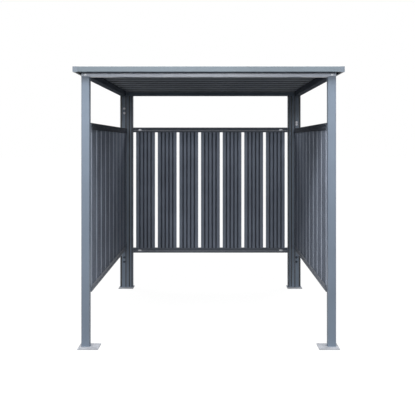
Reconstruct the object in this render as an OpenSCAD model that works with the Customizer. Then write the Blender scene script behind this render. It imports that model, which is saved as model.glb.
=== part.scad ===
// Bike shelter: an open-fronted steel frame with three slat walls and a flat ribbed roof.
// Millimetres, +Z up, the open front towards -Y, the origin on the ground under the roof's middle.

/* [Frame] */
// Side of the square post tube
post_w = 60; // [50:1:80]
// Clear height from the base plate to the underside of the beams
post_h = 1978; // [1800:1:2400]
// Sheet thickness of the post and jamb tubes
post_wall = 2; // [1.5:0.5:3]
// Outside corner radius of the post, jamb and beam tubes
tube_r = 5; // [4:0.5:8]
// Width of the grooved jamb beside each rear post
jamb_w = 72; // [50:1:90]
// Width of the groove down the front and back of a jamb
jamb_groove_w = 10; // [4:1:14]
// Depth of the groove down the front and back of a jamb
jamb_groove_depth = 8; // [3:1:10]
// Height of the roof beams
beam_h = 50; // [30:1:80]
// Sheet thickness of the roof beams
beam_wall = 2; // [1.5:0.5:3]

/* [Base plates] */
// Thickness of a base plate
plate_t = 6; // [4:1:12]
// Reach of a base plate in front of its post
plate_front = 60; // [35:1:80]
// Reach of a base plate behind its post
plate_back = 30; // [28:1:60]
// Reach of a rear base plate past each side of its two posts
plate_margin = 9; // [4:1:30]
// Reach of a front base plate past the outer side of its post
front_plate_margin = 18; // [4:1:30]
// Diameter of an anchor hole
anchor_d = 12; // [8:1:16]
// Distance of an anchor hole from the plate's edges
anchor_inset = 15; // [12:1:18]

/* [Walls] */
// Width of a slat
slat_w = 196; // [170:1:260]
// Open gap between two slats, or a slat and a post
slat_gap = 29; // [10:1:60]
// Number of slats in the rear wall
rear_slats = 7; // [4:1:10]
// Number of slats in each side wall
side_slats = 9; // [6:1:12]
// Height of the rear wall's lower edge above the ground
rear_wall_bottom = 357; // [200:1:500]
// Height of the rear wall, over both rails
rear_wall_h = 1301; // [900:1:1400]
// Setback of the rear wall's outer face from the outer faces of the rear posts
rear_wall_inset = 1; // [0:1:14]
// Height of a side wall's lower edge above the ground
side_wall_bottom = 396; // [200:1:500]
// Height of a side wall, over both rails
side_wall_h = 1252; // [900:1:1400]
// Setback of a side wall's outer face from the outer faces of its posts
side_wall_inset = 36; // [0:1:44]
// Height of a wall rail
rail_h = 50; // [40:1:70]
// Thickness of a wall rail, through the wall
rail_d = 32; // [28:1:45]
// Sheet thickness of a wall rail
rail_t = 1.5; // [1:0.1:2]
// Depth of the groove pressed along both faces of a rail
rail_groove_depth = 3.5; // [2:0.5:5]
// Height of the floor of a rail's groove
rail_groove_floor = 6; // [3:1:9]
// Height of a rail's groove at the face
rail_groove_h = 14; // [11:1:18]

/* [Slat profile] */
// Sheet thickness of slats and roof panels
sheet_t = 1; // [0.8:0.1:1.5]
// Inside bend radius of folded sheet
bend_r = 1.5; // [1:0.1:2]
// Number of grooves pressed into a slat
slat_grooves = 4; // [2:1:4]
// Distance between the middles of two grooves
groove_pitch = 39; // [30:1:44]
// Width of a groove at the slat's face
groove_w = 15; // [12:1:18]
// Width of a groove's floor
groove_floor = 4.5; // [4.5:0.5:8]
// Depth of a groove
groove_depth = 16; // [8:1:18]
// Width of the lip turned in at each side of a slat
slat_lip = 14; // [8:1:20]

/* [Roof] */
// Overhang of the roof past the frame at the sides
side_overhang = 52; // [45:1:120]
// Overhang of the roof past the frame at the front and rear
front_overhang = 60; // [45:1:120]
// Height of the fascia
fascia_h = 40; // [36:1:60]
// How far the fascia hangs below the roof panels
fascia_drop = 20; // [12:1:22]
// Sheet thickness of the fascia and its corner caps
fascia_t = 1.5; // [1:0.1:2]
// Depth of the fascia's upper lip
upper_lip = 24; // [12:1:30]
// Depth of the fascia's lower lip
lower_lip = 16; // [10:1:30]
// Side of a roof corner cap
cap_side = 33; // [31:1:50]
// Length of the tongue that joins a corner cap to a fascia
tongue_l = 30; // [15:1:60]
// Thickness of a corner cap's tongue
tongue_t = 2.5; // [2:0.5:4]
// Number of roof panels, from front to rear
panel_count = 10; // [8:1:14]
// Width of a roof panel's rib at its foot
rib_foot = 62; // [50:1:80]
// Width of a roof panel's rib at its top
rib_top = 34; // [20:1:40]
// Width by which a roof panel laps over the next one
lap_w = 22; // [12:1:30]

/* [Hidden] */
// Clearance of a piece that slides into another
fit = 0.3;
// Overrun of a cut past the face that it opens
cut_over = 1;
// Straight pieces that make up one bend of folded sheet
bend_steps = 2;
// Run of the slanting step where a roof panel rises on to the next one
lap_step = 4;

paint = [0.46, 0.51, 0.56];
slat_paint = [0.38, 0.41, 0.45];
galvanised = [0.76, 0.78, 0.80];
cap_grey = [0.50, 0.54, 0.60];

// Plan of the frame, worked out from the slats that fill it
corner_w = post_w + jamb_w;
rear_span = rear_slats * slat_w + (rear_slats + 1) * slat_gap;
side_span = side_slats * slat_w + (side_slats + 1) * slat_gap;
frame_w = rear_span + 2 * corner_w;
frame_d = side_span + 2 * post_w;
roof_w = frame_w + 2 * side_overhang;
roof_d = frame_d + 2 * front_overhang;
deck_w = roof_w - 2 * (fascia_t + bend_r);
deck_d = roof_d - 2 * fascia_t;
post_x = frame_w / 2 - post_w / 2;
post_y = frame_d / 2 - post_w / 2;
jamb_x = frame_w / 2 - post_w - jamb_w / 2;

// Base plates
plate_w = corner_w + 2 * plate_margin;
plate_d = plate_front + post_w + plate_back;
front_plate_x = frame_w / 2 + front_plate_margin - plate_w / 2;
rear_plate_x = frame_w / 2 - corner_w / 2;
plate_shift_y = (plate_back - plate_front) / 2;

// Levels above the ground
beam_bottom = plate_t + post_h;
beam_top = beam_bottom + beam_h;
fascia_bottom = beam_top - fascia_drop;
rib_h = fascia_h - fascia_drop - fascia_t;
panel_pitch = deck_d / panel_count;

// Slats in their rails
slat_pitch = slat_w + slat_gap;
slat_d = rail_d - 2 * (rail_t + rail_groove_depth + fit);

// Middle of the walls, back from the outer faces of the posts
wall_x = frame_w / 2 - side_wall_inset - rail_d / 2;
wall_y = frame_d / 2 - rear_wall_inset - rail_d / 2;

SIDES = ["left", "right"];
ENDS = ["front", "rear"];
WALLS = ["rear", "left", "right"];

$fn = 48;

// Sign of a named side along X, and of a named end along Y
function side_sign(name) = name == "left" ? -1 : 1;
function end_sign(name) = name == "front" ? -1 : 1;

function unit(v) = v / norm(v);
function left_of(v) = [-v.y, v.x];

// One corner of a path, rounded by a few points on an arc that touches both of its sides
function round_corner(before, corner, after, radius) =
    let(
        u = unit(before - corner),
        v = unit(after - corner),
        half = acos(u * v) / 2,
        centre = corner + unit(u + v) * radius / sin(half),
        start = corner + u * radius / tan(half) - centre,
        turn = (180 - 2 * half) * sign(u.y * v.x - u.x * v.y) / bend_steps
    )
    [for (i = [0 : bend_steps])
        centre + [
            start.x * cos(i * turn) - start.y * sin(i * turn),
            start.x * sin(i * turn) + start.y * cos(i * turn)
        ]
    ];

// A path with every inner corner rounded
function rounded(path, radius) =
    let(last = len(path) - 1)
    concat(
        [path[0]],
        [for (i = [1 : last - 1], p = round_corner(path[i - 1], path[i], path[i + 1], radius)) p],
        [path[last]]
    );

// A path moved sideways, to its left
function moved_left(path, distance) =
    let(last = len(path) - 1)
    [for (i = [0 : last])
        let(
            a = left_of(unit(path[max(i, 1)] - path[max(i, 1) - 1])),
            b = left_of(unit(path[min(i, last - 1) + 1] - path[min(i, last - 1)]))
        )
        path[i] + (a + b) * distance / (1 + a * b)
    ];

function reversed(path) = [for (i = [len(path) - 1 : -1 : 0]) path[i]];

// Section of sheet folded along a path that runs on the sheet's outer face, with the sheet to its left
module folded(path, thickness) {
    outer = rounded(path, bend_r + thickness);
    polygon(concat(outer, reversed(moved_left(outer, thickness))));
}

// A section drawn as depth and height, drawn out along X about its middle
module drawn_out(length) {
    rotate([90, 0, 90])
        linear_extrude(length, center = true)
            children();
}

// A piece made for the rear, turned to stand on the named wall
module on_wall(wall) {
    if (wall == "rear")
        translate([0, wall_y, 0])
            children();
    else
        translate([side_sign(wall) * wall_x, 0, 0])
            rotate(-90 * side_sign(wall))
                children();
}

function wall_span(wall) = wall == "rear" ? rear_span : side_span;
function wall_count(wall) = wall == "rear" ? rear_slats : side_slats;
function wall_bottom(wall) = wall == "rear" ? rear_wall_bottom : side_wall_bottom;
function wall_h(wall) = wall == "rear" ? rear_wall_h : side_wall_h;

module rounded_rectangle(w, d, r) {
    square([w - 2 * r, d], center = true);
    square([w, d - 2 * r], center = true);
    for (x = [-1, 1], y = [-1, 1])
        translate([x * (w / 2 - r), y * (d / 2 - r)])
            circle(r);
}

module tube_section(w, d, wall) {
    difference() {
        rounded_rectangle(w, d, tube_r);
        rounded_rectangle(w - 2 * wall, d - 2 * wall, tube_r - wall);
    }
}

module post(end, side) {
    color(paint)
        translate([side_sign(side) * post_x, end_sign(end) * post_y, plate_t])
            linear_extrude(post_h)
                tube_section(post_w, post_w, post_wall);
}

// The two grooves of a jamb, widened by the sheet that is folded round them
module jamb_grooves(wall) {
    for (y = [-1, 1])
        translate([0, y * post_w / 2])
            square([jamb_groove_w + 2 * wall, 2 * (jamb_groove_depth + wall)], center = true);
}

module jamb(side) {
    color(paint)
        translate([side_sign(side) * jamb_x, post_y, plate_t])
            linear_extrude(post_h)
                difference() {
                    rounded_rectangle(jamb_w, post_w, tube_r);
                    jamb_grooves(0);
                    difference() {
                        rounded_rectangle(
                            jamb_w - 2 * post_wall, post_w - 2 * post_wall, tube_r - post_wall
                        );
                        jamb_grooves(post_wall);
                    }
                }
}

module base_plate(end, side) {
    plate_x = end == "front" ? front_plate_x : rear_plate_x;
    color(galvanised)
        translate([side_sign(side) * plate_x, end_sign(end) * post_y + plate_shift_y, 0])
            difference() {
                translate([-plate_w / 2, -plate_d / 2, 0])
                    cube([plate_w, plate_d, plate_t]);
                for (x = [-1, 1], y = [-1, 1])
                    translate([
                        x * (plate_w / 2 - anchor_inset),
                        y * (plate_d / 2 - anchor_inset),
                        -cut_over
                    ])
                        cylinder(d = anchor_d, h = plate_t + 2 * cut_over);
            }
}

// Beams over the front and rear posts run the full width
module cross_beam(end) {
    color(paint)
        translate([0, end_sign(end) * post_y, beam_bottom + beam_h / 2])
            drawn_out(frame_w)
                tube_section(post_w, beam_h, beam_wall);
}

// Side beams fit between the front and rear beams
module side_beam(side) {
    color(paint)
        translate([side_sign(side) * post_x, 0, beam_bottom + beam_h / 2])
            rotate(90)
                drawn_out(side_span)
                    tube_section(post_w, beam_h, beam_wall);
}

// One face of a bottom rail, from its top edge down past the pressed groove
function rail_face() = [
    [-rail_d / 2, rail_h],
    [-rail_d / 2, (rail_h + rail_groove_h) / 2],
    [-rail_d / 2 + rail_groove_depth, (rail_h + rail_groove_floor) / 2],
    [-rail_d / 2 + rail_groove_depth, (rail_h - rail_groove_floor) / 2],
    [-rail_d / 2, (rail_h - rail_groove_h) / 2],
    [-rail_d / 2, 0]
];

module rail_section() {
    face = rail_face();
    folded(concat(face, [for (p = reversed(face)) [-p.x, p.y]]), rail_t);
}

// The bottom rail is open upwards
module bottom_rail(wall) {
    color(paint)
        on_wall(wall)
            translate([0, 0, wall_bottom(wall)])
                drawn_out(wall_span(wall))
                    rail_section();
}

// The top rail is the same channel, open downwards
module top_rail(wall) {
    color(paint)
        on_wall(wall)
            translate([0, 0, wall_bottom(wall) + wall_h(wall)])
                drawn_out(wall_span(wall))
                    mirror([0, 1])
                        rail_section();
}

// Face of a slat with its pressed grooves, between side returns that end in lips
function slat_path() = concat(
    [[-slat_w / 2 + slat_lip, slat_d], [-slat_w / 2, slat_d], [-slat_w / 2, 0]],
    [for (
        i = [0 : slat_grooves - 1],
        x = [(i - (slat_grooves - 1) / 2) * groove_pitch],
        p = [
            [x - groove_w / 2, 0],
            [x - groove_floor / 2, groove_depth],
            [x + groove_floor / 2, groove_depth],
            [x + groove_w / 2, 0]
        ]
    ) p],
    [[slat_w / 2, 0], [slat_w / 2, slat_d], [slat_w / 2 - slat_lip, slat_d]]
);

// Slats stand on the web of the bottom rail, with their faces to the inside of the shelter
module wall_slats(wall) {
    count = wall_count(wall);
    color(slat_paint)
        on_wall(wall)
            for (i = [0 : count - 1])
                translate([
                    (i - (count - 1) / 2) * slat_pitch,
                    -slat_d / 2,
                    wall_bottom(wall) + rail_t
                ])
                    linear_extrude(wall_h(wall) - 2 * rail_t - fit)
                        folded(slat_path(), sheet_t);
}

// Underside of a roof panel: a pan with one rib, and a raised lap on all but the last panel
function panel_path(lapped) = concat(
    [
        [0, 0],
        [(panel_pitch - rib_foot) / 2, 0],
        [(panel_pitch - rib_top) / 2, rib_h - sheet_t],
        [(panel_pitch + rib_top) / 2, rib_h - sheet_t],
        [(panel_pitch + rib_foot) / 2, 0]
    ],
    lapped
        ? [[panel_pitch - lap_step, 0], [panel_pitch, sheet_t], [panel_pitch + lap_w, sheet_t]]
        : [[panel_pitch, 0]]
);

module roof_panel(number) {
    path = panel_path(number < panel_count);
    color(paint)
        translate([0, -deck_d / 2 + (number - 1) * panel_pitch, beam_top])
            drawn_out(deck_w)
                polygon(concat(path, reversed(moved_left(path, sheet_t))));
}

module fascia_section() {
    folded([[upper_lip, fascia_h], [0, fascia_h], [0, 0], [lower_lip, 0]], fascia_t);
}

module cross_fascia(end) {
    color(paint)
        rotate(end == "front" ? 0 : 180)
            translate([0, -roof_d / 2, fascia_bottom])
                drawn_out(roof_w - 2 * cap_side)
                    fascia_section();
}

module side_fascia(side) {
    color(paint)
        rotate(90 * side_sign(side))
            translate([0, -roof_w / 2, fascia_bottom])
                drawn_out(roof_d - 2 * cap_side)
                    fascia_section();
}

// A cap closes each corner of the roof, and its tongues slide into the two fascias
module roof_cap(end, side) {
    tongue_bottom = fascia_t + bend_r;
    tongue_h = fascia_drop - tongue_bottom - fit;
    color(cap_grey)
        mirror([side == "right" ? 1 : 0, 0, 0])
            mirror([0, end == "rear" ? 1 : 0, 0])
                translate([-roof_w / 2, -roof_d / 2, fascia_bottom]) {
                    difference() {
                        cube([cap_side, cap_side, fascia_h]);
                        translate([fascia_t, fascia_t, fascia_t])
                            cube([cap_side, cap_side, fascia_h - 2 * fascia_t]);
                    }
                    translate([fascia_t, fascia_t, tongue_bottom]) {
                        cube([cap_side - fascia_t + tongue_l, tongue_t, tongue_h]);
                        cube([tongue_t, cap_side - fascia_t + tongue_l, tongue_h]);
                    }
                }
}

for (e = ENDS, s = SIDES) {
    post(e, s);
    base_plate(e, s);
    roof_cap(e, s);
}
for (s = SIDES) {
    jamb(s);
    side_beam(s);
    side_fascia(s);
}
for (e = ENDS) {
    cross_beam(e);
    cross_fascia(e);
}
for (w = WALLS) {
    top_rail(w);
    bottom_rail(w);
    wall_slats(w);
}
for (i = [1 : panel_count]) {
    roof_panel(i);
}
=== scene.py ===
"""Dresses the bike shelter: its finishes, welds and fixings, and the studio that it is shown in."""

import logging
import math
from collections.abc import Iterable, Sequence
from dataclasses import dataclass, field, replace
from enum import Enum, auto
from typing import Protocol

import bmesh
import bpy
from mathutils import Color, Matrix, Vector


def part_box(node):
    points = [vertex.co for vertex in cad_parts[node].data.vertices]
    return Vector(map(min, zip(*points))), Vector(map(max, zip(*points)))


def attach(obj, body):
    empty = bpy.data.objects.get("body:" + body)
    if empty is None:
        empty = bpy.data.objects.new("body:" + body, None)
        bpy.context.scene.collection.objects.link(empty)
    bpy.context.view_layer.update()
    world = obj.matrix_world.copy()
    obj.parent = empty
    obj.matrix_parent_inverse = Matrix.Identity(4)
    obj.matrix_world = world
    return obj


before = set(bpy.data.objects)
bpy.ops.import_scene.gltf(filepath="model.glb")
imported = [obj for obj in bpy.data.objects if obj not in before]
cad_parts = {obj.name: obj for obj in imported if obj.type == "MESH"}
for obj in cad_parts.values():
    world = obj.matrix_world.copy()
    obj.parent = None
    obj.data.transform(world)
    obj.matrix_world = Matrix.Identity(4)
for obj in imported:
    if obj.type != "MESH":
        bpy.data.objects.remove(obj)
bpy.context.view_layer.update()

Triple = tuple[float, float, float]
Colour = Triple
Span = tuple[float, float]
Socket = bpy.types.NodeSocket
Source = Socket | Sequence[float] | float
Material = bpy.types.Material
Shape = bmesh.types.BMesh

LOG = logging.getLogger("bike_shelter")
ROOT_BODY = "root"
MM = 0.001
MERGE_WITHIN = 0.001 * MM
UP = Vector((0, 0, 1))
AXES = (Vector((1, 0, 0)), Vector((0, 1, 0)))
WHITE_LEVEL = 255
WHOLE: Span = (0.0, 1.0)
NOISE_SPAN: Span = (0.3, 0.7)
LEVEL_COSINES: Span = (0.6, 1.0)
FACE_COSINES: Span = (-0.05, 0.15)


class Named(Enum):
    """A choice whose name, in small letters, is a word of the frame's names."""

    @property
    def word(self) -> str:
        """The word that the frame's names use."""
        return self.name.lower()


class Side(Named):
    """A side of the shelter, with its sign along X."""

    LEFT = -1
    RIGHT = 1


class End(Named):
    """An end of the shelter, with its sign along Y."""

    FRONT = -1
    REAR = 1


class WallPlace(Named):
    """A slat wall, with the direction that its inner face looks in."""

    REAR = (0, -1, 0)
    LEFT = (1, 0, 0)
    RIGHT = (-1, 0, 0)

    @property
    def inward(self) -> Vector:
        """Unit vector from the wall into the shelter."""
        return Vector(self.value)

    @property
    def along(self) -> int:
        """Index of the axis that the wall runs along."""
        return 0 if self is WallPlace.REAR else 1


class RailPlace(Named):
    """One of the two rails of a wall."""

    TOP = auto()
    BOTTOM = auto()


class Slot(Enum):
    """The record's material slots, which added pieces carry; nothing here reads them, and each piece keeps
    its own finish.
    """

    FRAME = "frame_paint"
    RAIL = "rail_paint"
    ROOF = "roof_paint"
    FASCIA = "fascia_paint"
    PLATE = "galvanised_plate"


def corner_names(kind: str) -> list[str]:
    """Names of the four nodes of a kind that stand at the corners."""
    return [f"{end.word}_{side.word}_{kind}" for end in End for side in Side]


def edge_names(kind: str) -> list[str]:
    """Names of the four nodes of a kind that run along the front, the rear and the sides."""
    return [f"{place.word}_{kind}" for place in (*End, *Side)]


@dataclass(frozen=True)
class Block:
    """The box round one or more nodes of the frame, in metres."""

    low: Vector
    high: Vector

    @classmethod
    def of(cls, *nodes: str) -> "Block":
        """The box round the named nodes.

        Args:
            nodes: Names of nodes of the frame.

        Returns:
            The smallest box that holds them all.
        """
        corners = [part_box(node) for node in nodes]
        low = Vector(min(pair[0][axis] for pair in corners) for axis in range(3))
        high = Vector(max(pair[1][axis] for pair in corners) for axis in range(3))
        return cls(low, high)

    @property
    def middle(self) -> Vector:
        """The box's centre."""
        return (self.low + self.high) / 2

    @property
    def size(self) -> Vector:
        """The box's three sides."""
        return self.high - self.low

    def face(self, direction: Vector) -> Vector:
        """Middle of the face that looks in a direction along one axis."""
        return self.middle + Vector(d * s / 2 for d, s in zip(direction, self.size))


def linear(colour: Colour) -> tuple[float, float, float, float]:
    """A screen colour, from 0 to 255, as the linear one with full opacity that a socket takes."""
    shares = Color([channel / WHITE_LEVEL for channel in colour])
    return (*shares.from_srgb_to_scene_linear(), 1.0)


def shaded(colour: Colour, share: float) -> Colour:
    """A screen colour with each channel scaled by a share."""
    return tuple(min(WHITE_LEVEL, channel * share) for channel in colour)


def grey(level: float) -> tuple[float, float, float, float]:
    """A linear grey with full opacity."""
    return (level, level, level, 1.0)


@dataclass(frozen=True)
class Grain:
    """A soft noise: the size of its patches in metres, its finer octaves, and its depth as relief."""

    size: float
    octaves: float
    depth: float = 0.0


@dataclass(frozen=True)
class Dust:
    """Dust that settles on level faces: its patches, its largest share, and its colour."""

    grain: Grain
    share: float
    colour: Colour


class NodeGraph:
    """The nodes of a material or a world, each added together with what feeds it."""

    def __init__(self, owner: bpy.types.Material | bpy.types.World) -> None:
        """Lets the owner use nodes.

        Args:
            owner: The material or world that has the nodes.
        """
        owner.use_nodes = True
        self.tree = owner.node_tree

    def feed(self, socket: Socket, source: Source) -> None:
        """Links an input to an output, or sets it to a constant.

        Args:
            socket: The input.
            source: The output, or the constant.
        """
        if isinstance(source, Socket):
            self.tree.links.new(source, socket)
        else:
            socket.default_value = source

    def add(self, kind: str, output: str, inputs: dict[str | int, Source], **settings: str) -> Socket:
        """Adds a node.

        Args:
            kind: The node's type.
            output: Name of the output that is wanted.
            inputs: Names or numbers of inputs, and what feeds them.
            settings: Properties of the node and their values.

        Returns:
            The wanted output.
        """
        node = self.tree.nodes.new(kind)
        for name, value in settings.items():
            setattr(node, name, value)
        for name, source in inputs.items():
            self.feed(node.inputs[name], source)
        return node.outputs[output]

    def calc(self, operation: str, *terms: Source) -> Socket:
        """The result of an operation on one to three values."""
        return self.add("ShaderNodeMath", "Value", dict(enumerate(terms)), operation=operation)

    def dot(self, first: Source, second: Source) -> Socket:
        """The dot product of two vectors."""
        return self.add("ShaderNodeVectorMath", "Value", {0: first, 1: second}, operation="DOT_PRODUCT")

    def ranged(self, value: Socket, result: Span, within: Span = NOISE_SPAN) -> Socket:
        """Maps a value on to another range.

        Args:
            value: The value to map.
            result: Results at the start and at the end of the value's range.
            within: Where the value's range starts and ends.

        Returns:
            The mapped value, held within the results.
        """
        names = ("From Min", "From Max", "To Min", "To Max")
        limits = dict(zip(names, (*within, *result)))
        return self.add("ShaderNodeMapRange", "Result", {"Value": value, **limits})

    def seen_or_thrown(self, seen: Socket, thrown: Socket) -> Socket:
        """Lets a surface look one way and light the object in another.

        Args:
            seen: What the camera, a reflection or a see-through surface shows.
            thrown: What lights the object.

        Returns:
            The shader that is both.
        """
        rays = ("Is Camera Ray", "Is Glossy Ray", "Is Transmission Ray")
        camera, glossy, through = (self.add("ShaderNodeLightPath", ray, {}) for ray in rays)
        share = self.calc("MAXIMUM", self.calc("MAXIMUM", camera, glossy), through)
        return self.add("ShaderNodeMixShader", "Shader", {"Fac": share, 1: thrown, 2: seen})


class Shader(NodeGraph):
    """The nodes of one material: a principled surface and textures on the piece's own coordinates."""

    def __init__(self, name: str) -> None:
        """Starts a material.

        Args:
            name: The material's name.
        """
        self.material = bpy.data.materials.new(name)
        super().__init__(self.material)
        self.surface = self.tree.nodes["Principled BSDF"]
        self.place = self.add("ShaderNodeTexCoord", "Object", {})

    def noise(self, grain: Grain, stretch: Triple | None = None) -> Socket:
        """Adds a soft noise.

        Args:
            grain: Its size and octaves.
            stretch: Scale along each axis, or none for an even noise.

        Returns:
            The noise's value, about 0.5 in the middle.
        """
        place = self.place
        if stretch is not None:
            place = self.add("ShaderNodeMapping", "Vector", {"Vector": place, "Scale": stretch})
        settings = {"Vector": place, "Scale": 1 / grain.size, "Detail": grain.octaves}
        return self.add("ShaderNodeTexNoise", "Fac", settings)

    def height(self, grain: Grain) -> tuple[Socket, float]:
        """A soft noise and its depth, for relief."""
        return self.noise(grain), grain.depth

    def cells(self, size: float) -> Socket:
        """A random value for each of the crystal-like cells of a size."""
        tints = self.add("ShaderNodeTexVoronoi", "Color", {"Vector": self.place, "Scale": 1 / size})
        return self.add("ShaderNodeSeparateColor", "Red", {"Color": tints})

    def blend(self, share: Socket, first: Socket | Colour, second: Socket | Colour) -> Socket:
        """Mixes two colours.

        Args:
            share: Share of the second colour, from 0 to 1.
            first: A colour, or the output that gives it.
            second: The colour mixed into it, or the output that gives it.

        Returns:
            The mixed colour.
        """
        mix = self.tree.nodes.new("ShaderNodeMix")
        mix.data_type = "RGBA"
        sockets = {socket.identifier: socket for socket in (*mix.inputs, *mix.outputs)}
        self.feed(sockets["Factor_Float"], share)
        for name, colour in (("A_Color", first), ("B_Color", second)):
            self.feed(sockets[name], linear(colour) if isinstance(colour, tuple) else colour)
        return sockets["Result_Color"]

    def facing(self, outward: Vector, cosines: Span) -> Socket:
        """How far a face looks in a direction.

        Args:
            outward: Unit vector of the direction.
            cosines: Cosines of the angles to it at which the result starts to rise and is full.

        Returns:
            A value from 0 to 1.
        """
        normal = self.add("ShaderNodeNewGeometry", "Normal", {})
        return self.ranged(self.dot(normal, outward), WHOLE, cosines)

    def behind(self, face: Vector, outward: Vector) -> Socket:
        """How far a point lies behind a plane.

        Args:
            face: A point of the plane, in metres.
            outward: Unit vector that the plane faces.

        Returns:
            The distance in metres, below zero in front of the plane.
        """
        offset = {0: face, 1: self.place}
        return self.dot(self.add("ShaderNodeVectorMath", "Vector", offset, operation="SUBTRACT"), outward)

    def from_nearest(self, along: Vector, first: float, pitch: float) -> Socket:
        """How far a point lies from the nearest of a row of evenly spaced lines.

        Args:
            along: Unit vector that the row runs along.
            first: Place of one of the lines on it, in metres.
            pitch: Distance from line to line.

        Returns:
            The distance in metres, along the row.
        """
        reach = self.dot(self.place, along)
        wrapped = self.calc("WRAP", reach, first + pitch / 2, first - pitch / 2)
        return self.calc("ABSOLUTE", self.calc("SUBTRACT", wrapped, first))

    def mottled(self, value: Socket, colour: Colour, tone: float, within: Span = NOISE_SPAN) -> Socket:
        """A colour that gets lighter with a value.

        Args:
            value: The value.
            colour: The colour in the middle.
            tone: Share by which it gets darker and lighter.
            within: Where the value's range starts and ends.

        Returns:
            The changing colour.
        """
        share = self.ranged(value, WHOLE, within)
        return self.blend(share, shaded(colour, 1 - tone), shaded(colour, 1 + tone))

    def dusted(self, coat: Socket, dust: Dust) -> Socket:
        """Lets dust settle on the faces that look up.

        Args:
            coat: The colour without dust.
            dust: The dust.

        Returns:
            The dusty colour.
        """
        patches = self.ranged(self.noise(dust.grain), (0.0, dust.share))
        settled = self.calc("MULTIPLY", self.facing(UP, LEVEL_COSINES), patches)
        return self.blend(settled, coat, dust.colour)

    def finished(
        self,
        colour: Socket,
        roughness: Socket,
        constants: dict[str, float],
        *heights: tuple[Socket, float],
    ) -> Material:
        """Drives the surface.

        Args:
            colour: Its colour.
            roughness: Its roughness.
            constants: Names of other inputs, and numbers that are the same all over the surface.
            heights: Pairs of a height's value and its depth in metres, laid over each other as bump.

        Returns:
            The material.
        """
        inputs: dict[str, Source] = {"Base Color": colour, "Roughness": roughness, **constants}
        relief: dict[str, Socket] = {}
        for value, depth in heights:
            bump = {"Distance": depth, "Height": value, **relief}
            relief["Normal"] = self.add("ShaderNodeBump", "Normal", bump)
        for name, source in (inputs | relief).items():
            self.feed(self.surface.inputs[name], source)
        return self.material


@dataclass(frozen=True)
class InnerShade:
    """Painted shade on the faces that look into the shelter: a darker colour there."""

    colour: Colour
    inward: Vector
    cosines: Span = (0.05, 0.35)

    def laid(self, shader: Shader, coat: Socket) -> Socket:
        """The colour of a coat with the painted shade on its inner faces."""
        return shader.blend(shader.facing(self.inward, self.cosines), coat, self.colour)


@dataclass(frozen=True)
class Grime:
    """Painted shade in the hollows of a sheet, darker the deeper they lie behind the face: how soon behind
    the face it starts, and how thick it lies.
    """

    clean: float
    full: float
    share: float
    colour: Colour

    def sunk(self, shader: Shader, face: Vector, outward: Vector) -> Socket:
        """The painted shade's share at a point, by how far it lies behind a face."""
        return shader.ranged(shader.behind(face, outward), (0.0, self.share), (self.clean, self.full))


@dataclass(frozen=True)
class SlatShadeAndHighlight:
    """Painted shade and painted highlight on a row of slats: painted shade in their grooves and a painted
    highlight along their folded edges.
    """

    face: Vector
    outward: Vector
    along: Vector
    first: float
    pitch: float
    grime: Grime
    inside: Span = (76 * MM, 82 * MM)
    rim: Span = (94 * MM, 96.5 * MM)
    edge_highlight_share: float = 0.28
    edge_highlight_colour: Colour = (190, 194, 202)

    def laid(self, shader: Shader, coat: Socket) -> Socket:
        """Lays the painted shade and painted highlight over a coat of paint.

        Args:
            shader: The material that gets the nodes.
            coat: The paint's colour.

        Returns:
            The colour of the paint with its painted shade and highlight.
        """
        beside = shader.from_nearest(self.along, self.first, self.pitch)
        middle = shader.ranged(beside, (1.0, 0.0), self.inside)
        inner = shader.calc("MULTIPLY", middle, shader.facing(self.outward, FACE_COSINES))
        # grooves is painted shade on the slats' inner faces, darker deeper in the hollows.
        grooves = shader.calc("MULTIPLY", self.grime.sunk(shader, self.face, self.outward), inner)
        # rim is a painted highlight along the slats' folded edges, where they face the light.
        rim = shader.ranged(beside, (0.0, self.edge_highlight_share), self.rim)
        return shader.blend(rim, shader.blend(grooves, coat, self.grime.colour), self.edge_highlight_colour)


@dataclass(frozen=True)
class Backing:
    """The paler coat on a roof sheet's underside, with painted shade in the hollows of its ribs."""

    colour: Colour
    face: Vector
    grime: Grime

    def laid(self, shader: Shader, coat: Socket) -> Socket:
        """The colour of a coat with this backing, and painted shade in its hollows, on the faces that look
        down.
        """
        # The backing coat is a real second colour; the darkening in the rib hollows is painted shade.
        back = shader.blend(self.grime.sunk(shader, self.face, -UP), self.colour, self.grime.colour)
        return shader.blend(shader.facing(-UP, FACE_COSINES), coat, back)


@dataclass(frozen=True)
class PaintedTube:
    """Semi-gloss powder coat on rolled tube: fine orange peel, slow tone changes and a little dust."""

    name: str
    colour: Colour
    gloss: Span
    specular: float
    inner: InnerShade | None = None
    tone: float = 0.04
    dust: Dust = Dust(Grain(50 * MM, 4.0), 0.22, (176, 178, 176))
    patches: Grain = Grain(450 * MM, 3.0)
    haze: Grain = Grain(30 * MM, 4.0)
    peel: Grain = Grain(2.2 * MM, 1.0, 0.08 * MM)
    waves: Grain = Grain(500 * MM, 1.0, 0.3 * MM)

    def material(self) -> Material:
        """Builds the finish.

        Returns:
            The material.
        """
        shader = Shader(self.name)
        paint = shader.mottled(shader.noise(self.patches), self.colour, self.tone)
        # The inner colour is painted shade on the faces that look into the shelter.
        if self.inner is not None:
            paint = self.inner.laid(shader, paint)
        return shader.finished(
            shader.dusted(paint, self.dust),
            shader.ranged(shader.noise(self.haze), self.gloss),
            {"Specular IOR Level": self.specular},
            shader.height(self.peel),
            shader.height(self.waves),
        )


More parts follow.
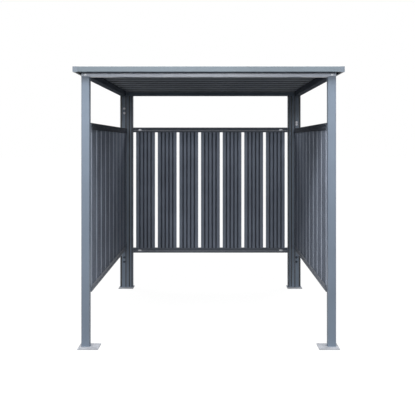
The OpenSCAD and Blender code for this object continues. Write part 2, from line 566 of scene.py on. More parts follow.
@dataclass(frozen=True)
class PressedSheet:
    """Coil-coated sheet that was pressed into a profile: faint drawing lines along it and soft waves."""

    name: str
    colour: Colour
    lines: Triple
    gloss: Span
    specular: float
    wear: SlatShadeAndHighlight | Backing | None = None
    tone: float = 0.05
    dust: Dust = Dust(Grain(60 * MM, 4.0), 0.25, (168, 169, 168))
    patches: Grain = Grain(300 * MM, 3.0)
    drawn: Grain = Grain(4 * MM, 2.0, 0.04 * MM)
    skin: Grain = Grain(1.8 * MM, 1.0, 0.06 * MM)
    waves: Grain = Grain(400 * MM, 1.0, 0.2 * MM)

    def material(self) -> Material:
        """Builds the finish.

        Returns:
            The material.
        """
        shader = Shader(self.name)
        paint = shader.mottled(shader.noise(self.patches), self.colour, self.tone)
        coat = shader.dusted(paint, self.dust)
        # The overlay is the slats' painted shade and highlight, and on the roof the backing coat with its
        # painted shade.
        if self.wear is not None:
            coat = self.wear.laid(shader, coat)
        drawn = shader.noise(self.drawn, self.lines)
        return shader.finished(
            coat,
            shader.ranged(drawn, self.gloss),
            {"Specular IOR Level": self.specular},
            (drawn, self.drawn.depth),
            shader.height(self.skin),
            shader.height(self.waves),
        )


@dataclass(frozen=True)
class DippedSteel:
    """Hot-dip galvanised plate: spangle cells of slightly different grey, with dull patches."""

    name: str
    colour: Colour
    spangle: float = 9 * MM
    spangle_depth: float = 0.05 * MM
    tone: float = 0.07
    dull: Grain = Grain(40 * MM, 4.0)
    dull_share: float = 0.35
    dull_shade: float = 0.9
    metal: float = 0.20
    gloss: Span = (0.74, 0.88)
    runs: Grain = Grain(12 * MM, 3.0, 0.2 * MM)

    def material(self) -> Material:
        """Builds the finish.

        Returns:
            The material.
        """
        shader = Shader(self.name)
        cells = shader.cells(self.spangle)
        zinc = shader.mottled(cells, self.colour, self.tone, WHOLE)
        dull = shader.ranged(shader.noise(self.dull), (0.0, self.dull_share))
        return shader.finished(
            shader.blend(dull, zinc, shaded(self.colour, self.dull_shade)),
            shader.ranged(cells, self.gloss, WHOLE),
            {"Metallic": self.metal},
            (cells, self.spangle_depth),
            shader.height(self.runs),
        )


@dataclass(frozen=True)
class PlatedFixing:
    """Zinc plate on bolts, washers and screws, with a faint haze."""

    name: str
    colour: Colour
    haze: Grain = Grain(6 * MM, 4.0)
    haze_shade: float = 0.86
    metal: float = 0.85
    gloss: Span = (0.36, 0.52)
    skin: Grain = Grain(1.2 * MM, 2.0, 0.04 * MM)

    def material(self) -> Material:
        """Builds the finish.

        Returns:
            The material.
        """
        shader = Shader(self.name)
        haze = shader.noise(self.haze)
        hazy = shaded(self.colour, self.haze_shade)
        return shader.finished(
            shader.blend(shader.ranged(haze, WHOLE), self.colour, hazy),
            shader.ranged(haze, self.gloss),
            {"Metallic": self.metal},
            shader.height(self.skin),
        )


@dataclass(frozen=True)
class MouldedPlastic:
    """Fine-grained moulded plastic or rubber."""

    name: str
    colour: Colour
    clouds: Grain = Grain(20 * MM, 3.0)
    tone: float = 0.03
    gloss: Span = (0.48, 0.60)
    skin: Grain = Grain(0.9 * MM, 1.0, 0.06 * MM)

    def material(self) -> Material:
        """Builds the finish.

        Returns:
            The material.
        """
        shader = Shader(self.name)
        clouds = shader.noise(self.clouds)
        colour = shader.mottled(clouds, self.colour, self.tone)
        return shader.finished(colour, shader.ranged(clouds, self.gloss), {}, shader.height(self.skin))


def dress(nodes: Iterable[str], finish: Material) -> None:
    """Gives nodes of the frame a finish.

    Args:
        nodes: Names of the nodes.
        finish: The material that replaces the one they came with.
    """
    for name in nodes:
        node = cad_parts[name]
        node.data.materials.clear()
        node.data.materials.append(finish)
        LOG.info("dressed %s in %s", name, finish.name)


def seat(place: Vector, outward: Vector, turn: float = 0.0) -> Matrix:
    """Where a fixing made standing on the XY plane is seated.

    Args:
        place: Point of the surface that it sits on.
        outward: Direction in which it stands off that surface.
        turn: Turn about its own axis, in radians.

    Returns:
        The matrix that takes it there.
    """
    upright = outward.to_track_quat("Z", "Y").to_matrix().to_4x4()
    return Matrix.Translation(place) @ upright @ Matrix.Rotation(turn, 4, "Z")


def lifted(seats: Iterable[Matrix], height: float) -> list[Matrix]:
    """Seats on top of fixings of a height."""
    return [place @ Matrix.Translation(UP * height) for place in seats]


def evenly(low: float, high: float, count: int) -> list[float]:
    """Middles of a number of equal steps."""
    step = (high - low) / count
    return [low + (number + 0.5) * step for number in range(count)]


class Pattern(Protocol):
    """A shape that is made once and copied to its seats."""

    def build(self) -> Shape:
        """Makes the shape, about the origin or standing on the XY plane."""


def spun(outline: Iterable[Span], steps: int) -> Shape:
    """Spins an outline about Z.

    Args:
        outline: Pairs of a radius and a height, from the axis at the top to the rim at the bottom.
        steps: Number of sides.

    Returns:
        The shape, open underneath.
    """
    shape = bmesh.new()
    points = [shape.verts.new((radius, 0, height)) for radius, height in outline]
    edges = [shape.edges.new(pair) for pair in zip(points, points[1:])]
    bmesh.ops.spin(
        shape, geom=points + edges, cent=(0, 0, 0), axis=UP, angle=math.tau, steps=steps, use_merge=True
    )
    bmesh.ops.remove_doubles(shape, verts=shape.verts, dist=MERGE_WITHIN)
    bmesh.ops.recalc_face_normals(shape, faces=shape.faces)
    return shape


def bevelled(shape: Shape, edges: list[bmesh.types.BMEdge], offset: float, segments: int) -> None:
    """Rounds or chamfers edges of a shape.

    Args:
        shape: The shape.
        edges: The edges.
        offset: Width of the bevel on each side of an edge.
        segments: Number of its facets.
    """
    bmesh.ops.bevel(
        shape, geom=edges, offset=offset, affect="EDGES", segments=segments, profile=0.5, material=-1
    )


def top_rim(shape: Shape, height: float) -> list[bmesh.types.BMEdge]:
    """Edges round the top of a shape of a height that stands on the XY plane."""
    return [edge for edge in shape.edges if all(vert.co.z > height / 2 for vert in edge.verts)]


@dataclass(frozen=True)
class RoundWasher:
    """A flat round washer with a softened rim."""

    radius: float
    thickness: float
    steps: int = 16
    softening: float = 0.35

    def build(self) -> Shape:
        """Spins the washer.

        Returns:
            The washer, lying on the XY plane.
        """
        soft = self.thickness * self.softening
        crown = ((0.0, self.thickness), (self.radius - soft, self.thickness))
        return spun((*crown, (self.radius, self.thickness - soft), (self.radius, 0.0)), self.steps)


@dataclass(frozen=True)
class RivetHead:
    """The domed head of a rivet, with few faces. Its profile is in shares of its radius and height."""

    radius: float
    height: float
    steps: int = 8
    profile: tuple[Span, ...] = ((0.0, 1.0), (0.5, 0.87), (0.87, 0.5), (1.0, 0.0))

    def build(self) -> Shape:
        """Spins the head, standing on the XY plane."""
        return spun([(self.radius * out, self.height * up) for out, up in self.profile], self.steps)


@dataclass(frozen=True)
class BlindInsert:
    """A round insert with a blind bore and a rounded rim, which are in shares of its main sizes."""

    radius: float
    bore: float
    height: float
    bore_floor: float = 0.2
    lead_start: float = 0.9
    lead_growth: float = 1.15
    crown: float = 0.85
    shoulder: float = 0.6
    steps: int = 16

    def build(self) -> Shape:
        """Spins the insert.

        Returns:
            The insert, standing on the XY plane.
        """
        floor = self.height * self.bore_floor
        outline = (
            (0.0, floor),
            (self.bore, floor),
            (self.bore, self.height * self.lead_start),
            (self.bore * self.lead_growth, self.height),
            (self.radius * self.crown, self.height),
            (self.radius, self.height * self.shoulder),
            (self.radius, 0.0),
        )
        return spun(outline, self.steps)


@dataclass(frozen=True)
class Bar:
    """A plain bar, with its size along X, Y and Z."""

    size: Triple

    def build(self) -> Shape:
        """Makes the bar.

        Returns:
            The bar, about the origin.
        """
        shape = bmesh.new()
        bmesh.ops.create_cube(shape, size=1)
        bmesh.ops.scale(shape, verts=shape.verts, vec=self.size)
        return shape


@dataclass(frozen=True)
class HexHead:
    """The head of a hexagon bolt, chamfered at its top."""

    across: float
    height: float
    chamfer: float

    def build(self) -> Shape:
        """Makes the head.

        Returns:
            The head, standing on the XY plane.
        """
        shape = bmesh.new()
        radius = self.across / math.sqrt(3)
        bmesh.ops.create_cone(
            shape, cap_ends=True, segments=6, radius1=radius, radius2=radius, depth=self.height
        )
        bmesh.ops.translate(shape, verts=shape.verts, vec=UP * self.height / 2)
        bevelled(shape, top_rim(shape, self.height), self.chamfer, segments=2)
        return shape


@dataclass(frozen=True)
class OblongWasher:
    """A washer with round ends, longer than it is wide."""

    length: float
    width: float
    thickness: float
    rounding: float
    end_share: float = 0.499

    def build(self) -> Shape:
        """Makes the washer.

        Returns:
            The washer, lying on the XY plane with its length along X.
        """
        shape = Bar((self.length, self.width, self.thickness)).build()
        bmesh.ops.translate(shape, verts=shape.verts, vec=UP * self.thickness / 2)
        rises = {edge: abs(edge.verts[0].co.z - edge.verts[1].co.z) for edge in shape.edges}
        upright = [edge for edge, rise in rises.items() if rise > self.thickness / 2]
        bevelled(shape, upright, self.width * self.end_share, segments=6)
        bevelled(shape, top_rim(shape, self.thickness), self.rounding, segments=1)
        return shape


@dataclass(frozen=True)
class WeldRun:
    """A straight run of weld, rippled along its length."""

    length: float
    radius: float = 4 * MM
    ripple: float = 0.10
    pitch: float = 5 * MM
    sides: int = 7
    least_steps: int = 4

    def build(self) -> Shape:
        """Draws the bead out step by step.

        Returns:
            The bead, along Z about the origin.
        """
        shape = bmesh.new()
        steps = max(self.least_steps, round(self.length / self.pitch) * 2)
        made = bmesh.ops.create_circle(shape, cap_ends=True, segments=self.sides, radius=self.radius)
        bmesh.ops.translate(shape, verts=made["verts"], vec=-UP * self.length / 2)
        end = shape.faces[:][0]
        for step in range(steps):
            grown = 1 + self.ripple if step % 2 == 0 else 1 / (1 + self.ripple)
            moved = bmesh.ops.extrude_face_region(shape, geom=[end])["geom"]
            verts = [part for part in moved if isinstance(part, bmesh.types.BMVert)]
            end = next(part for part in moved if isinstance(part, bmesh.types.BMFace))
            bmesh.ops.translate(shape, verts=verts, vec=UP * self.length / steps)
            middle = sum((v.co for v in verts), Vector()) / len(verts)
            bmesh.ops.scale(shape, verts=verts, vec=(grown, grown, 1), space=Matrix.Translation(-middle))
        bmesh.ops.recalc_face_normals(shape, faces=shape.faces)
        return shape


BOLT_HEAD = HexHead(across=13 * MM, height=5.5 * MM, chamfer=1 * MM)


@dataclass
class JoinedPiece:
    """Many like fixings in one mesh, each copied from a pattern to its seat."""

    name: str
    finish: Material
    slot: Slot | None = None
    smooth_below: float = math.radians(40)
    shape: Shape = field(default_factory=bmesh.new)

    def add(self, pattern: Pattern, seats: Iterable[Matrix]) -> None:
        """Copies a pattern to each of its seats.

        Args:
            pattern: The shape to copy.
            seats: Matrices that take it to its places.
        """
        mesh = bpy.data.meshes.new(f"{self.name}_pattern")
        made = pattern.build()
        made.to_mesh(mesh)
        made.free()
        for place in seats:
            count = len(self.shape.verts)
            self.shape.from_mesh(mesh)
            self.shape.verts.ensure_lookup_table()
            bmesh.ops.transform(self.shape, matrix=place, verts=self.shape.verts[count:])
        bpy.data.meshes.remove(mesh)

    def add_bar(self, size: Triple, place: Vector) -> None:
        """Adds a plain bar about a place."""
        self.add(Bar(size), [Matrix.Translation(place)])

    def add_bolts(self, washer: RoundWasher | OblongWasher, seats: Sequence[Matrix]) -> None:
        """Adds a washer at each seat and a bolt's head on it."""
        self.add(washer, seats)
        self.add(BOLT_HEAD, lifted(seats, washer.thickness))

    def finished(self) -> None:
        """Makes the object and lets it ride with the frame."""
        mesh = bpy.data.meshes.new(self.name)
        for face in self.shape.faces:
            face.smooth = True
        for edge in self.shape.edges:
            edge.smooth = edge.is_manifold and edge.calc_face_angle(0.0) < self.smooth_below
        self.shape.to_mesh(mesh)
        self.shape.free()
        mesh.materials.append(self.finish)
        piece = bpy.data.objects.new(self.name, mesh)
        bpy.context.scene.collection.objects.link(piece)
        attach(piece, ROOT_BODY)
        LOG.info("built %s with %d faces", self.name, len(mesh.polygons))


@dataclass(frozen=True)
class Finishes:
    """The materials that the sub-assemblies share, and the recipes that they change."""

    tube: Material
    front_beam: Material
    side_beam: Material
    rail: Material
    side_top_rail: PaintedTube
    slat_sheet: PressedSheet
    roof_sheet: PressedSheet
    fascia: Material
    plate: Material
    cap: Material
    zinc: Material
    rubber: Material
    nylon: Material

    @classmethod
    def mixed(cls) -> "Finishes":
        """Builds every finish of the shelter.

        Returns:
            The finishes.
        """
        satin, matt = (0.44, 0.54), (0.80, 0.90)
        return cls(
            tube=PaintedTube("tube_paint", (114, 126, 141), satin, specular=0.32).material(),
            # The front beam's lighter colour is partly painted light, making up for the fascia's shadow on
            # it.
            front_beam=PaintedTube(
                "front_beam_paint", (134, 144, 159), gloss=(0.26, 0.32), specular=0.5
            ).material(),
            # The side beams' darker colour is partly painted shade, for beams that lie in shade under the
            # roof.
            side_beam=PaintedTube("side_beam_paint", (72, 79, 89), matt, specular=0.08).material(),
            rail=PaintedTube("rail_paint", (103, 109, 120), gloss=(0.50, 0.60), specular=0.25).material(),
            side_top_rail=PaintedTube("side_top_rail_paint", (103, 109, 120), matt, specular=0.08),
            # The slats' tint, lighter than the rails', partly stands for painted light and shade, not paint.
            slat_sheet=PressedSheet(
                "slat_paint", (141, 150, 166), lines=(1, 1, 0.02), gloss=(0.64, 0.76), specular=0.14
            ),
            roof_sheet=PressedSheet(
                "roof_sheet_paint", (112, 121, 131), lines=(0.02, 1, 1), gloss=(0.72, 0.85), specular=0.12
            ),
            fascia=PaintedTube(
                "fascia_paint", (101, 112, 121), gloss=(0.42, 0.50), specular=0.4
            ).material(),
            plate=DippedSteel("galvanised_plate", (176, 179, 186)).material(),
            cap=MouldedPlastic("cap_plastic", (104, 114, 125)).material(),
            zinc=PlatedFixing("zinc_plate", (178, 181, 186)).material(),
            rubber=MouldedPlastic("seal_rubber", (38, 39, 41)).material(),
            # The inserts' white is partly a painted highlight: it stands for glints on them.
            nylon=MouldedPlastic("painted_glint_white", (232, 232, 240)).material(),
        )


@dataclass(frozen=True)
class Strip:
    """A strip along a corner: its width, and how far below the face its top and its bottom lie."""

    width: float
    top: float
    bottom: float


@dataclass(frozen=True)
class ShelterFrame:
    """Posts, jambs and roof beams, with their welds, bolts, inserts whose white is a painted highlight, dark
    strips that are painted shade, and trims, one a pale angle that is a painted highlight.
    """

    finishes: Finishes
    corner_rounding: float = 5 * MM
    washer: RoundWasher = RoundWasher(radius=9 * MM, thickness=1.6 * MM)
    bolt_rise: float = 15 * MM
    bolt_turn: float = 0.2
    insert: BlindInsert = BlindInsert(radius=12 * MM, bore=3 * MM, height=3 * MM)
    insert_inset: float = 13 * MM
    inserts_above_left_wall: Span = (158 * MM, 205 * MM)
    inserts_above_right_wall: Span = (40 * MM, 64 * MM)
    plugs_below_wall: Span = (82 * MM, 128 * MM)
    groove_strip: Strip = Strip(10 * MM, top=2.5 * MM, bottom=8 * MM)
    seam_strip: Strip = Strip(9 * MM, top=-0.8 * MM, bottom=5 * MM)
    outer_strip: Strip = Strip(13 * MM, top=-0.8 * MM, bottom=0.5 * MM)
    outer_strip_inset: float = 13 * MM
    inner_strip: Strip = Strip(9 * MM, top=-0.8 * MM, bottom=0.5 * MM)
    inner_strip_inset: float = 9 * MM
    trim_proud: float = 0.8 * MM
    trim_bed: float = 4 * MM
    trim_height: float = 10 * MM
    lip_drop: float = 1.4 * MM
    angle_drop: float = 5.5 * MM

    def uprights(self) -> list[str]:
        """Names of the four posts and the two rear jambs."""
        return [*corner_names("post"), *[f"rear_{side.word}_jamb" for side in Side]]

    def build(self) -> None:
        """Dresses the frame and adds what joins it."""
        dress([*self.uprights(), *edge_names("beam")], self.finishes.tube)
        dress(["front_beam"], self.finishes.front_beam)
        dress([f"{side.word}_beam" for side in Side], self.finishes.side_beam)
        self.foot_welds()
        self.beam_bolts()
        self.post_inserts()
        self.corner_shade_strips()
        self.beam_trims()

    def foot_welds(self) -> None:
        """Runs a weld along each side of every post and jamb, where it stands on its plate."""
        welds = JoinedPiece("foot_welds", self.finishes.tube, Slot.FRAME)
        for name in self.uprights():
            foot = Block.of(name)
            for axis, other in ((0, 1), (1, 0)):
                places = []
                for edge in (foot.low, foot.high):
                    place = foot.face(-UP)
                    place[other] = edge[other]
                    places.append(seat(place, AXES[axis]))
                welds.add(WeldRun(foot.size[axis] - 2 * self.corner_rounding), places)
        welds.finished()

    def beam_bolts(self) -> None:
        """Puts a bolt with a washer through each end of the cross beams."""
        bolts = JoinedPiece("beam_bolts", self.finishes.zinc)
        seats = []
        for end in End:
            beam = Block.of(f"{end.word}_beam")
            outward = Vector((0, end.value, 0))
            for side in Side:
                place = beam.face(outward)
                place.x = Block.of(f"{end.word}_{side.word}_post").middle.x
                place.z = beam.low.z + self.bolt_rise
                seats.append(seat(place, outward, side.value * self.bolt_turn))
        bolts.add_bolts(self.washer, seats)
        bolts.finished()

    def post_inserts(self) -> None:
        """Sets white inserts into the posts' inner faces above the side walls, their white partly a painted
        highlight for glints, and dark plugs below.
        """
        # The white of these inserts stands for glints, a painted highlight.
        bright = JoinedPiece("post_inserts", self.finishes.nylon)
        dark = JoinedPiece("post_plugs", self.finishes.side_beam)
        rises = {Side.LEFT: self.inserts_above_left_wall, Side.RIGHT: self.inserts_above_right_wall}
        for end in End:
            for side in Side:
                wall = Block.of(*[f"{side.word}_wall_{rail.word}_rail" for rail in RailPlace])
                inward = Vector((0, -end.value, 0))
                place = Block.of(f"{end.word}_{side.word}_post").face(inward)
                place.x -= side.value * self.insert_inset
                for inserts, levels in (
                    (bright, [wall.high.z + rise for rise in rises[side]]),
                    (dark, [wall.low.z - drop for drop in self.plugs_below_wall]),
                ):
                    places = [Vector((place.x, place.y, level)) for level in levels]
                    inserts.add(self.insert, [seat(spot, inward) for spot in places])
        bright.finished()
        dark.finished()

    def corner_shade_strips(self) -> None:
        """Puts dark strips along the rear corners, painted shade in their grooves, over their seams and by
        their edges.
        """
        # These dark strips are painted shade, standing for shadow lines at the corners.
        strips = JoinedPiece("corner_shade_strips", self.finishes.rubber)
        for side in Side:
            jamb = Block.of(f"rear_{side.word}_jamb")
            post = Block.of(f"rear_{side.word}_post")
            outward = Vector((side.value, 0, 0))
            runs = (
                (jamb.middle.x, self.groove_strip),
                (jamb.face(outward).x, self.seam_strip),
                (post.face(outward).x - side.value * self.outer_strip_inset, self.outer_strip),
                (jamb.face(-outward).x + side.value * self.inner_strip_inset, self.inner_strip),
            )
            for end in End:
                away = Vector((0, end.value, 0))
                for reach, strip in runs:
                    place = jamb.face(away) - away * (strip.top + strip.bottom) / 2
                    place.x = reach
                    strips.add_bar((strip.width, strip.bottom - strip.top, jamb.size.z), place)
        strips.finished()

    def beam_trims(self) -> None:
        """Squares the front beam's lower edge with a lip, and lays a pale galvanised angle on the rear beam
        as a painted highlight along its top edge.
        """
        front, rear = (Block.of(f"{end.word}_beam") for end in End)
        lip_level = front.low.z - self.lip_drop + self.trim_height / 2
        angle_level = rear.high.z - self.angle_drop
        depth = self.trim_proud + self.trim_bed
        size = (2 * Block.of("front_right_post").low.x, depth, self.trim_height)
        for trim, beam, level in (
            (JoinedPiece("front_beam_lip", self.finishes.front_beam, Slot.FRAME), front, lip_level),
            # The pale angle on the rear beam is a painted highlight for light on the beam's top edge.
            (JoinedPiece("rear_beam_angle", self.finishes.plate, Slot.PLATE), rear, angle_level),
        ):
            trim.add_bar(size, Vector((0, beam.low.y - self.trim_proud + depth / 2, level)))
            trim.finished()


@dataclass(frozen=True)
class BasePlates:
    """The four galvanised plates under the posts."""

    finishes: Finishes

    def build(self) -> None:
        """Dresses the plates."""
        dress(corner_names("base_plate"), self.finishes.plate)


@dataclass(frozen=True)
class SlatWall:
    """One wall of pressed slats between two rails, with its rivets, pale beads that are painted highlights,
    and end bolts.
    """

    place: WallPlace
    finishes: Finishes
    slat_count: int
    grime: Grime
    slat_width: float = 196 * MM
    rivet: RivetHead = RivetHead(radius=3.2 * MM, height=1.6 * MM)
    rivet_offset: float = 39 * MM
    groove_depth: float = 3.5 * MM
    # inner_rail colour is painted shade on the inner face of the side walls' top rails.
    inner_rail: Colour = (66, 70, 78)
    bead_proud: float = 0.3 * MM
    bead_bed: float = 2 * MM
    bead_drop: float = 6 * MM
    bead_height: float = 5 * MM
    washer: OblongWasher = OblongWasher(36 * MM, 18 * MM, 2 * MM, rounding=0.6 * MM)
    bolt_from_end: float = 70 * MM

    def called(self, kind: str) -> str:
        """Name of the wall's node or piece of a kind."""
        return f"{self.place.word}_wall_{kind}"

    def rails(self) -> list[Block]:
        """Boxes of the wall's two rails."""
        return [Block.of(self.called(f"{rail.word}_rail")) for rail in RailPlace]

    def slats(self) -> Block:
        """The box round the wall's slats."""
        return Block.of(self.called("slats"))

    def faces(self) -> list[Vector]:
        """Directions of the wall's two faces, the inner one first."""
        return [self.place.inward, -self.place.inward]

    def build(self) -> None:
        """Dresses the wall and adds its fixings."""
        dress([self.called(f"{rail.word}_rail") for rail in RailPlace], self.finishes.rail)
        if self.place is not WallPlace.REAR:
            dress([self.called("top_rail")], self.shaded_rail_finish())
        dress([self.called("slats")], self.slat_finish())
        self.slat_rivets()
        self.end_bolts()
        if self.place is WallPlace.REAR:
            self.groove_beads()

    def shaded_rail_finish(self) -> Material:
        """The finish of a side wall's top rail, with painted shade on its inner face.

        Returns:
            The material.
        """
        name = f"{self.place.word}_top_rail_paint"
        inner = InnerShade(self.inner_rail, self.place.inward)
        return replace(self.finishes.side_top_rail, name=name, inner=inner).material()

    def slat_finish(self) -> Material:
        """The slats' finish, with painted shade in the grooves and painted highlights along the edges of
        their inner faces.

        Returns:
            The material.
        """
        wear = SlatShadeAndHighlight(
            face=self.slats().face(self.place.inward),
            outward=self.place.inward,
            along=AXES[self.place.along],
            first=self.slat_middles()[0],
            pitch=self.slat_pitch(),
            grime=self.grime,
        )
        name = f"{self.place.word}_slat_paint"
        return replace(self.finishes.slat_sheet, name=name, wear=wear).material()

    def slat_pitch(self) -> float:
        """Distance from slat to slat."""
        return (self.slats().size[self.place.along] - self.slat_width) / (self.slat_count - 1)

    def slat_middles(self) -> list[float]:
        """Places of the slats' middles along the wall."""
        first = self.slats().low[self.place.along] + self.slat_width / 2
        return [first + number * self.slat_pitch() for number in range(self.slat_count)]

    def slat_rivets(self) -> None:
        """Rivets every slat to the floors of the rails' grooves, on both faces."""
        rivets = JoinedPiece(self.called("rivets"), self.finishes.rail, Slot.RAIL)
        seats = []
        for rail in self.rails():
            for outward in self.faces():
                for middle in self.slat_middles():
                    for offset in (-self.rivet_offset, self.rivet_offset):
                        place = rail.face(outward) - outward * self.groove_depth
                        place[self.place.along] = middle + offset
                        seats.append(seat(place, outward))
        rivets.add(self.rivet, seats)
        rivets.finished()

    def groove_beads(self) -> None:
        """Lays a pale bead along the lower slope of each groove of the rails, a painted highlight where that
        slope catches light.
        """
        # The pale beads are painted highlights on the grooves' lower slopes.
        highlight_beads = JoinedPiece(self.called("highlight_beads"), self.finishes.plate, Slot.PLATE)
        depth = self.bead_proud + self.bead_bed
        for rail in self.rails():
            for outward in self.faces():
                place = rail.face(outward) + outward * (self.bead_proud - depth / 2)
                place.z -= self.bead_drop
                highlight_beads.add_bar((rail.size.x, depth, self.bead_height), place)
        highlight_beads.finished()

    def bolted_faces(self) -> list[Vector]:
        """Faces that show bolts: both of the rear wall's, and the outer one of a side wall."""
        return self.faces() if self.place is WallPlace.REAR else self.faces()[1:]

    def end_bolts(self) -> None:
        """Bolts both ends of the rails, through an oblong washer on each bolted face."""
        bolts = JoinedPiece(self.called("bolts"), self.finishes.zinc)
        axis = self.place.along
        lying = 0.0 if self.place is WallPlace.REAR else math.pi / 2
        seats = []
        for rail in self.rails():
            for outward in self.bolted_faces():
                for reach in (rail.low[axis] + self.bolt_from_end, rail.high[axis] - self.bolt_from_end):
                    place = rail.face(outward)
                    place[axis] = reach
                    seats.append(seat(place, outward, lying))
        bolts.add_bolts(self.washer, seats)
        bolts.finished()


@dataclass(frozen=True)
class Roof:
    """The ribbed roof deck, its fascia and corner caps, with screws, seals and rivets."""

    finishes: Finishes
    panel_count: int = 10
    sheet: float = 1 * MM
    lap: float = 22 * MM
    rib_foot: float = 62 * MM
    seal: RoundWasher = RoundWasher(radius=8 * MM, thickness=2.2 * MM, steps=12)
    screw: HexHead = HexHead(across=8 * MM, height=4.5 * MM, chamfer=0.8 * MM)
    rivet: RivetHead = RivetHead(radius=4 * MM, height=1.8 * MM)
    lap_rivets_per_panel: int = 5
    fascia_rivet_pitch: float = 300 * MM
    backing: Colour = (172, 178, 186)
    # Painted shade in the hollows of the ribs on the panels' undersides.
    grime: Grime = Grime(clean=0.3 * MM, full=2 * MM, share=0.92, colour=(26, 28, 31))

    def panels(self) -> list[str]:
        """Names of the roof panels, from front to rear."""
        return [f"roof_panel_{number}" for number in range(1, self.panel_count + 1)]

    def build(self) -> None:
        """Dresses the roof and adds its fixings."""
        sheet = self.sheet_finish()
        dress(self.panels(), sheet)
        dress(edge_names("fascia"), self.finishes.fascia)
        dress(corner_names("roof_cap"), self.finishes.cap)
        self.deck_screws()
        self.lap_rivets(sheet)
        self.fascia_rivets()

    def sheet_finish(self) -> Material:
        """The panels' finish, with the backing coat of their undersides and painted shade in the hollows of
        their ribs.
        """
        backing = Backing(self.backing, Block.of(*self.panels()).face(-UP), self.grime)
        return replace(self.finishes.roof_sheet, wear=backing).material()

    def deck_screws(self) -> None:
        """Screws the panels' pans down to the side beams, through rubber seals, each at its own turn."""
        pitch = Block.of(self.panels()[-1]).size.y
        pan = (pitch - self.rib_foot) / 2
        seats = []
        for name in self.panels():
            panel = Block.of(name)
            for reach in ((self.lap + pan) / 2, pitch - pan / 2):
                for side in Side:
                    place = Block.of(f"{side.word}_beam").middle
                    place.y = panel.low.y + reach
                    place.z = panel.low.z + self.sheet
                    seats.append(seat(place, UP, place.y))
        seals = JoinedPiece("deck_seals", self.finishes.rubber)
        seals.add(self.seal, seats)
        seals.finished()
        screws = JoinedPiece("deck_screws", self.finishes.zinc)
        screws.add(self.screw, lifted(seats, self.seal.thickness))
        screws.finished()

    def lap_rivets(self, finish: Material) -> None:
        """Stitches each panel to the next one along its lap.

        Args:
            finish: The panels' finish.
        """
        rivets = JoinedPiece("lap_rivets", finish, Slot.ROOF)
        seats = []
        for name in self.panels()[:-1]:
            panel = Block.of(name)
            for reach in evenly(panel.low.x, panel.high.x, self.lap_rivets_per_panel):
                place = Vector((reach, panel.high.y - self.lap / 2, panel.low.z + 2 * self.sheet))
                seats.append(seat(place, UP))
        rivets.add(self.rivet, seats)
        rivets.finished()

    def fascia_rivets(self) -> None:
        """Rivets the fascia's upper lip along all four edges of the roof."""
        rivets = JoinedPiece("fascia_rivets", self.finishes.fascia, Slot.FASCIA)
        seats = []
        for name in edge_names("fascia"):
            block = Block.of(name)
            axis = 0 if block.size.x > block.size.y else 1
            count = round(block.size[axis] / self.fascia_rivet_pitch)
            for reach in evenly(block.low[axis], block.high[axis], count):
                place = block.face(UP)
                place[axis] = reach
                seats.append(seat(place, UP))
        rivets.add(self.rivet, seats)
        rivets.finished()


@dataclass(frozen=True)
class SoftBox:
    """A large soft lamp that no camera sees, with its width and height in metres."""

    name: str
    place: Triple
    aim: Triple
    size: Span
    watts: float

    def build(self) -> None:
        """Hangs the lamp and turns it to its aim."""
        data = bpy.data.lights.new(self.name, "AREA")
        data.shape = "RECTANGLE"
        data.size, data.size_y = self.size
        data.energy = self.watts
        lamp = bpy.data.objects.new(self.name, data)
        lamp.location = self.place
        lamp.rotation_mode = "QUATERNION"
        lamp.rotation_quaternion = (Vector(self.aim) - Vector(self.place)).to_track_quat("-Z", "Y")
        lamp.visible_camera = False
        bpy.context.scene.collection.objects.link(lamp)
        LOG.info("hung %s", self.name)


@dataclass(frozen=True)
class PhotoCamera:
    """The camera of the photograph: level, looking along +Y, with the picture shifted in its frame."""

    place: Triple = (0.0426, -6.2102, 1.5032)
    focal_px: float = 699.37
    axis_px: Span = (214.52, 142.40)
    image_px: float = 415.0
    sensor_mm: float = 36.0

    def build(self) -> None:
        """Sets the camera up as the scene's own."""
        data = bpy.data.cameras.new("photo_camera")
        data.sensor_fit = "HORIZONTAL"
        data.sensor_width = self.sensor_mm
        data.lens = self.focal_px / self.image_px * self.sensor_mm
        data.shift_x = 0.5 - self.axis_px[0] / self.image_px
        data.shift_y = self.axis_px[1] / self.image_px - 0.5
        camera = bpy.data.objects.new("photo_camera", data)
        camera.location = self.place
        camera.rotation_euler = (math.pi / 2, 0, 0)
        bpy.context.scene.collection.objects.link(camera)
        bpy.context.scene.camera = camera


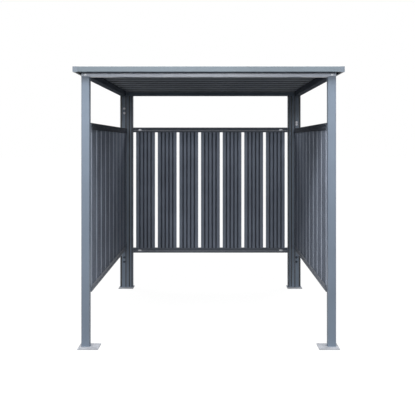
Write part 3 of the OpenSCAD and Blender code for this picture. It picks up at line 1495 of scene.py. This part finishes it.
@dataclass(frozen=True)
class Studio:
    """A pale floor, a white surround and soft lamps at a plain level."""

    floor_size: float = 120.0
    floor_glow: Span = (0.95, 1.0)
    glow_rise: Span = (2.5, 7.0)
    floor_pale: float = 0.10
    floor_bounce: float = 0.11
    white: float = 1.0
    surround: float = 0.12
    lamps: tuple[SoftBox, ...] = (
        SoftBox("left_key", (-2.0, -7.5, 3.0), (0.0, 0.0, 1.2), (2.0, 1.2), watts=62.0),
        SoftBox("centre_key", (0.0, -7.5, 3.0), (0.0, 0.0, 1.2), (2.0, 1.2), watts=110.0),
        SoftBox("right_key", (2.0, -7.5, 3.0), (0.0, 0.0, 1.2), (2.0, 1.2), watts=46.0),
        SoftBox("left_fill", (-3.2, -4.6, 2.2), (0.4, 0.0, 1.0), (1.2, 1.2), watts=8.0),
        SoftBox("left_top", (-1.4, -3.6, 4.8), (0.0, -1.0, 1.5), (1.6, 1.6), watts=152.0),
        SoftBox("centre_top", (0.2, -3.6, 4.8), (0.0, -1.0, 1.5), (1.6, 1.6), watts=72.0),
        SoftBox("right_top", (1.7, -1.9, 4.4), (1.0, -1.1, 1.9), (0.8, 0.8), watts=66.0),
        SoftBox("left_side", (-4.6, 4.6, 4.0), (-0.6, 0.6, 1.0), (2.5, 2.5), watts=140.0),
        SoftBox("right_side", (4.6, 4.6, 4.0), (0.6, 0.6, 1.0), (2.5, 2.5), watts=140.0),
    )

    def build(self) -> None:
        """Builds the floor, the surround, the lamps and the view transform."""
        bpy.context.scene.view_settings.view_transform = "Standard"
        self.build_floor()
        self.build_surround()
        for lamp in self.lamps:
            lamp.build()

    def build_floor(self) -> None:
        """Lays the floor."""
        shape = bmesh.new()
        bmesh.ops.create_grid(shape, x_segments=1, y_segments=1, size=self.floor_size / 2)
        mesh = bpy.data.meshes.new("studio_floor")
        shape.to_mesh(mesh)
        shape.free()
        mesh.materials.append(self.floor_material())
        floor = bpy.data.objects.new("studio_floor", mesh)
        bpy.context.scene.collection.objects.link(floor)

    def floor_material(self) -> Material:
        """Builds the floor's material, white to look at and darker for the light that it throws back.

        Returns:
            The material.
        """
        material = bpy.data.materials.new("studio_floor")
        graph = NodeGraph(material)
        graph.tree.nodes.clear()
        place = graph.add("ShaderNodeTexCoord", "Object", {})
        away = graph.add("ShaderNodeVectorMath", "Value", {0: place}, operation="LENGTH")
        strength = graph.ranged(away, self.floor_glow, self.glow_rise)
        glow = graph.add("ShaderNodeEmission", "Emission", {"Strength": strength})
        pale, bounce = (
            graph.add("ShaderNodeBsdfDiffuse", "BSDF", {"Color": grey(level)})
            for level in (self.floor_pale, self.floor_bounce)
        )
        seen = graph.add("ShaderNodeAddShader", "Shader", {0: glow, 1: pale})
        output = graph.tree.nodes.new("ShaderNodeOutputMaterial")
        graph.feed(output.inputs["Surface"], graph.seen_or_thrown(seen, bounce))
        return material

    def build_surround(self) -> None:
        """Makes the surround white to look at, and an even soft light on the object."""
        world = bpy.data.worlds.new("studio_surround")
        graph = NodeGraph(world)
        graph.tree.nodes.clear()
        white, soft = (
            graph.add("ShaderNodeBackground", "Background", {"Color": grey(1.0), "Strength": strength})
            for strength in (self.white, self.surround)
        )
        output = graph.tree.nodes.new("ShaderNodeOutputWorld")
        graph.feed(output.inputs["Surface"], graph.seen_or_thrown(white, soft))
        bpy.context.scene.world = world


def main() -> None:
    """Builds the sub-assemblies in order, then the studio and the camera."""
    logging.basicConfig(level=logging.INFO, format="%(name)s: %(message)s")
    finishes = Finishes.mixed()
    ShelterFrame(finishes).build()
    BasePlates(finishes).build()
    # Painted shade in the slats' grooves, lighter on the rear wall and stronger on the side walls.
    rear_groove_shade = Grime(clean=0.3 * MM, full=3 * MM, share=0.66, colour=(46, 49, 56))
    side_groove_shade = Grime(clean=0.1 * MM, full=0.9 * MM, share=0.95, colour=(30, 32, 38))
    SlatWall(WallPlace.REAR, finishes, slat_count=7, grime=rear_groove_shade).build()
    for place in (WallPlace.LEFT, WallPlace.RIGHT):
        SlatWall(place, finishes, slat_count=9, grime=side_groove_shade).build()
    Roof(finishes).build()
    Studio().build()
    PhotoCamera().build()


if __name__ == "__main__":
    main()
